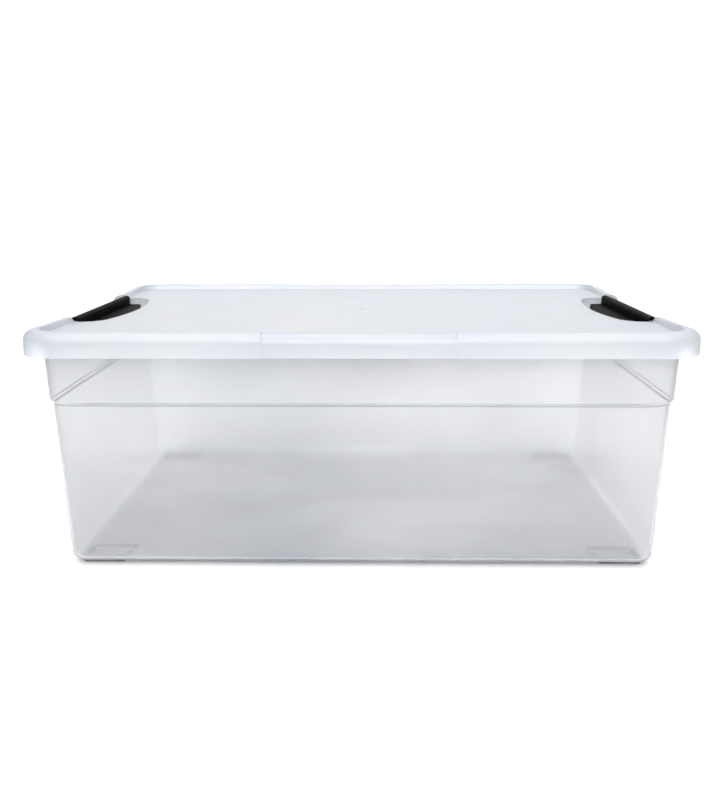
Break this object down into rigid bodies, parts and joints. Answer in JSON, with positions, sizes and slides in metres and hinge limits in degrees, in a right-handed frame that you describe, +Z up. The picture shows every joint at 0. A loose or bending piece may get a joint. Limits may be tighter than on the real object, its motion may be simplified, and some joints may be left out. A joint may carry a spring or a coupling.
{
  "type": "under bed box",
  "caption": "Low wide storage box: clear stepped tub on low corner feet, milky lift-off lid with a sunk panel, and a black swing clip at each short end.",
  "frame": {"origin": "on the ground, under the middle of the box, at the level of the feet's soles", "axes": "+X along the box towards the right-hand clip, +Y from the front long side to the back, +Z up"},
  "size_m": [0.6032, 0.4, 0.225],
  "materials": {
    "clear_plastic": "glossy, clear, faintly blue-grey",
    "milky_plastic": "satin, milky translucent",
    "black_plastic": "low gloss black"
  },
  "bodies": {
    "tub": {"tub": "clear_plastic"},
    "lid": {"lid": "milky_plastic"},
    "left_clip": {"left_clip": "black_plastic"},
    "right_clip": {"right_clip": "black_plastic"}
  },
  "joints": [
    {"name": "lid_lift", "type": "slide", "parent": "tub", "child": "lid", "axis": [0, 0, 1], "range_m": [0, 0.25]},
    {"name": "left_clip_swing", "type": "hinge", "parent": "tub", "child": "left_clip", "pos_m": [-0.293, 0, 0.208], "axis": [0, -1, 0], "range_deg": [0, 100]},
    {"name": "right_clip_swing", "type": "hinge", "parent": "tub", "child": "right_clip", "pos_m": [0.293, 0, 0.208], "axis": [0, 1, 0], "range_deg": [0, 100]}
  ]
}
